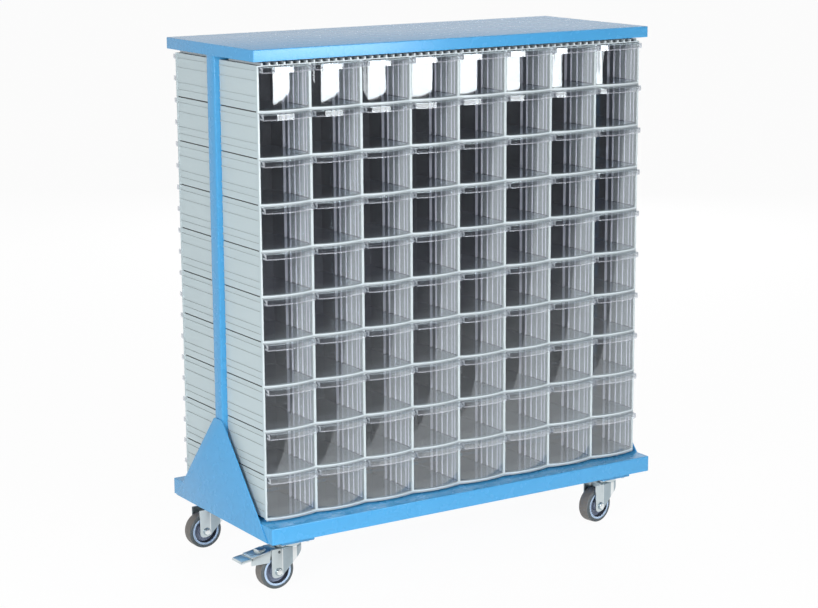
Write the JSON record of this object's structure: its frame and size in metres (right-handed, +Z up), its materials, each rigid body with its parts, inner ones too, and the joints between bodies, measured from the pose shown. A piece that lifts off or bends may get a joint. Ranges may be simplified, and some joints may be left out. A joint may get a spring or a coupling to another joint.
{
  "type": "double-sided drawer cabinet",
  "caption": "Mobile drawer cabinet: a blue steel frame on swivel castors carries stacked grey housings whose clear, bow-fronted drawers pull out on both long sides.",
  "frame": {"origin": "on the floor, under the middle of the base", "axes": "+X along the cabinet, front drawers face -Y, rear drawers face +Y, +Z up"},
  "size_m": [1.392, 0.576, 1.4404],
  "materials": {
    "blue_powder_coat": "satin",
    "light_grey_housing": "satin",
    "clear_drawer": "gloss",
    "zinc_plate": "satin",
    "grey_tyre": "matte",
    "grey_rim": "satin"
  },
  "bodies": {
    "cabinet": {"top_panel": "blue_powder_coat", "base_tray": "blue_powder_coat", "post_left": "blue_powder_coat", "post_right": "blue_powder_coat", "gusset_left": "blue_powder_coat", "gusset_right": "blue_powder_coat", "castor_beam_left": "blue_powder_coat", "castor_beam_right": "blue_powder_coat", "front_housing_stack": "light_grey_housing", "front_housing_top": "light_grey_housing", "rear_housing_stack": "light_grey_housing", "rear_housing_top": "light_grey_housing", "front_housing_roof": "light_grey_housing", "rear_housing_roof": "light_grey_housing", "castor_front_left_plate": "zinc_plate", "castor_front_right_plate": "zinc_plate", "castor_rear_left_plate": "zinc_plate", "castor_rear_right_plate": "zinc_plate"},
    "front_drawer_top_1": {"front_drawer_top_1": "clear_drawer"},
    "front_drawer_top_2": {"front_drawer_top_2": "clear_drawer"},
    "front_drawer_top_3": {"front_drawer_top_3": "clear_drawer"},
    "front_drawer_top_4": {"front_drawer_top_4": "clear_drawer"},
    "front_drawer_top_5": {"front_drawer_top_5": "clear_drawer"},
    "front_drawer_top_6": {"front_drawer_top_6": "clear_drawer"},
    "front_drawer_top_7": {"front_drawer_top_7": "clear_drawer"},
    "front_drawer_top_8": {"front_drawer_top_8": "clear_drawer"},
    "rear_drawer_lower_1": {"rear_drawer_lower_1": "clear_drawer"},
    "rear_drawer_lower_2": {"rear_drawer_lower_2": "clear_drawer"},
    "rear_drawer_lower_3": {"rear_drawer_lower_3": "clear_drawer"},
    "rear_drawer_lower_4": {"rear_drawer_lower_4": "clear_drawer"},
    "rear_drawer_lower_5": {"rear_drawer_lower_5": "clear_drawer"},
    "rear_drawer_lower_6": {"rear_drawer_lower_6": "clear_drawer"},
    "rear_drawer_lower_7": {"rear_drawer_lower_7": "clear_drawer"},
    "rear_drawer_lower_8": {"rear_drawer_lower_8": "clear_drawer"},
    "rear_drawer_upper_1": {"rear_drawer_upper_1": "clear_drawer"},
    "rear_drawer_upper_2": {"rear_drawer_upper_2": "clear_drawer"},
    "rear_drawer_upper_3": {"rear_drawer_upper_3": "clear_drawer"},
    "rear_drawer_upper_4": {"rear_drawer_upper_4": "clear_drawer"},
    "rear_drawer_upper_5": {"rear_drawer_upper_5": "clear_drawer"},
    "rear_drawer_upper_6": {"rear_drawer_upper_6": "clear_drawer"},
    "rear_drawer_upper_7": {"rear_drawer_upper_7": "clear_drawer"},
    "rear_drawer_upper_8": {"rear_drawer_upper_8": "clear_drawer"},
    "castor_front_left_swivel_body": {"castor_front_left_fork": "zinc_plate", "castor_front_left_axle": "zinc_plate"},
    "castor_front_left_wheel": {"castor_front_left_rim": "grey_rim", "castor_front_left_tyre": "grey_tyre"},
    "castor_front_left_brake": {"castor_front_left_pedal": "zinc_plate"},
    "castor_front_right_swivel_body": {"castor_front_right_fork": "zinc_plate", "castor_front_right_axle": "zinc_plate"},
    "castor_front_right_wheel": {"castor_front_right_rim": "grey_rim", "castor_front_right_tyre": "grey_tyre"},
    "castor_rear_left_swivel_body": {"castor_rear_left_fork": "zinc_plate", "castor_rear_left_axle": "zinc_plate"},
    "castor_rear_left_wheel": {"castor_rear_left_rim": "grey_rim", "castor_rear_left_tyre": "grey_tyre"},
    "castor_rear_right_swivel_body": {"castor_rear_right_fork": "zinc_plate", "castor_rear_right_axle": "zinc_plate"},
    "castor_rear_right_wheel": {"castor_rear_right_rim": "grey_rim", "castor_rear_right_tyre": "grey_tyre"},
    "castor_rear_right_brake": {"castor_rear_right_pedal": "zinc_plate"}
  },
  "joints": [
    {"name": "front_drawer_top_1_slide", "type": "slide", "parent": "cabinet", "child": "front_drawer_top_1", "axis": [0, -1, 0], "range_m": [0, 0.15]},
    {"name": "front_drawer_top_2_slide", "type": "slide", "parent": "cabinet", "child": "front_drawer_top_2", "axis": [0, -1, 0], "range_m": [0, 0.15]},
    {"name": "front_drawer_top_3_slide", "type": "slide", "parent": "cabinet", "child": "front_drawer_top_3", "axis": [0, -1, 0], "range_m": [0, 0.15]},
    {"name": "front_drawer_top_4_slide", "type": "slide", "parent": "cabinet", "child": "front_drawer_top_4", "axis": [0, -1, 0], "range_m": [0, 0.15]},
    {"name": "front_drawer_top_5_slide", "type": "slide", "parent": "cabinet", "child": "front_drawer_top_5", "axis": [0, -1, 0], "range_m": [0, 0.15]},
    {"name": "front_drawer_top_6_slide", "type": "slide", "parent": "cabinet", "child": "front_drawer_top_6", "axis": [0, -1, 0], "range_m": [0, 0.15]},
    {"name": "front_drawer_top_7_slide", "type": "slide", "parent": "cabinet", "child": "front_drawer_top_7", "axis": [0, -1, 0], "range_m": [0, 0.15]},
    {"name": "front_drawer_top_8_slide", "type": "slide", "parent": "cabinet", "child": "front_drawer_top_8", "axis": [0, -1, 0], "range_m": [0, 0.15]},
    {"name": "rear_drawer_lower_1_slide", "type": "slide", "parent": "cabinet", "child": "rear_drawer_lower_1", "axis": [0, 1, 0], "range_m": [0, 0.15]},
    {"name": "rear_drawer_lower_2_slide", "type": "slide", "parent": "cabinet", "child": "rear_drawer_lower_2", "axis": [0, 1, 0], "range_m": [0, 0.15]},
    {"name": "rear_drawer_lower_3_slide", "type": "slide", "parent": "cabinet", "child": "rear_drawer_lower_3", "axis": [0, 1, 0], "range_m": [0, 0.15]},
    {"name": "rear_drawer_lower_4_slide", "type": "slide", "parent": "cabinet", "child": "rear_drawer_lower_4", "axis": [0, 1, 0], "range_m": [0, 0.15]},
    {"name": "rear_drawer_lower_5_slide", "type": "slide", "parent": "cabinet", "child": "rear_drawer_lower_5", "axis": [0, 1, 0], "range_m": [0, 0.15]},
    {"name": "rear_drawer_lower_6_slide", "type": "slide", "parent": "cabinet", "child": "rear_drawer_lower_6", "axis": [0, 1, 0], "range_m": [0, 0.15]},
    {"name": "rear_drawer_lower_7_slide", "type": "slide", "parent": "cabinet", "child": "rear_drawer_lower_7", "axis": [0, 1, 0], "range_m": [0, 0.15]},
    {"name": "rear_drawer_lower_8_slide", "type": "slide", "parent": "cabinet", "child": "rear_drawer_lower_8", "axis": [0, 1, 0], "range_m": [0, 0.15]},
    {"name": "rear_drawer_upper_1_slide", "type": "slide", "parent": "cabinet", "child": "rear_drawer_upper_1", "axis": [0, 1, 0], "range_m": [0, 0.15]},
    {"name": "rear_drawer_upper_2_slide", "type": "slide", "parent": "cabinet", "child": "rear_drawer_upper_2", "axis": [0, 1, 0], "range_m": [0, 0.15]},
    {"name": "rear_drawer_upper_3_slide", "type": "slide", "parent": "cabinet", "child": "rear_drawer_upper_3", "axis": [0, 1, 0], "range_m": [0, 0.15]},
    {"name": "rear_drawer_upper_4_slide", "type": "slide", "parent": "cabinet", "child": "rear_drawer_upper_4", "axis": [0, 1, 0], "range_m": [0, 0.15]},
    {"name": "rear_drawer_upper_5_slide", "type": "slide", "parent": "cabinet", "child": "rear_drawer_upper_5", "axis": [0, 1, 0], "range_m": [0, 0.15]},
    {"name": "rear_drawer_upper_6_slide", "type": "slide", "parent": "cabinet", "child": "rear_drawer_upper_6", "axis": [0, 1, 0], "range_m": [0, 0.15]},
    {"name": "rear_drawer_upper_7_slide", "type": "slide", "parent": "cabinet", "child": "rear_drawer_upper_7", "axis": [0, 1, 0], "range_m": [0, 0.15]},
    {"name": "rear_drawer_upper_8_slide", "type": "slide", "parent": "cabinet", "child": "rear_drawer_upper_8", "axis": [0, 1, 0], "range_m": [0, 0.15]},
    {"name": "castor_front_left_swivel", "type": "hinge", "parent": "cabinet", "child": "castor_front_left_swivel_body", "pos_m": [-0.534, -0.208, 0.11], "axis": [0, 0, 1], "continuous": true},
    {"name": "castor_front_left_roll", "type": "hinge", "parent": "castor_front_left_swivel_body", "child": "castor_front_left_wheel", "pos_m": [-0.582, -0.208, 0.05], "axis": [0, 1, 0], "continuous": true},
    {"name": "castor_front_left_brake_press", "type": "hinge", "parent": "castor_front_left_swivel_body", "child": "castor_front_left_brake", "pos_m": [-0.58, -0.208, 0.1045], "axis": [0, -1, 0], "range_deg": [0, 12]},
    {"name": "castor_front_right_swivel", "type": "hinge", "parent": "cabinet", "child": "castor_front_right_swivel_body", "pos_m": [0.534, -0.208, 0.11], "axis": [0, 0, 1], "continuous": true},
    {"name": "castor_front_right_roll", "type": "hinge", "parent": "castor_front_right_swivel_body", "child": "castor_front_right_wheel", "pos_m": [0.48673, -0.21633, 0.05], "axis": [-0.1736, 0.9848, 0], "continuous": true},
    {"name": "castor_rear_left_swivel", "type": "hinge", "parent": "cabinet", "child": "castor_rear_left_swivel_body", "pos_m": [-0.534, 0.208, 0.11], "axis": [0, 0, 1], "continuous": true},
    {"name": "castor_rear_left_roll", "type": "hinge", "parent": "castor_rear_left_swivel_body", "child": "castor_rear_left_wheel", "pos_m": [-0.582, 0.208, 0.05], "axis": [0, 1, 0], "continuous": true},
    {"name": "castor_rear_right_swivel", "type": "hinge", "parent": "cabinet", "child": "castor_rear_right_swivel_body", "pos_m": [0.534, 0.208, 0.11], "axis": [0, 0, 1], "continuous": true},
    {"name": "castor_rear_right_roll", "type": "hinge", "parent": "castor_rear_right_swivel_body", "child": "castor_rear_right_wheel", "pos_m": [0.582, 0.208, 0.05], "axis": [0, -1, 0], "continuous": true},
    {"name": "castor_rear_right_brake_press", "type": "hinge", "parent": "castor_rear_right_swivel_body", "child": "castor_rear_right_brake", "pos_m": [0.58, 0.208, 0.1045], "axis": [0, 1, 0], "range_deg": [0, 12]}
  ]
}
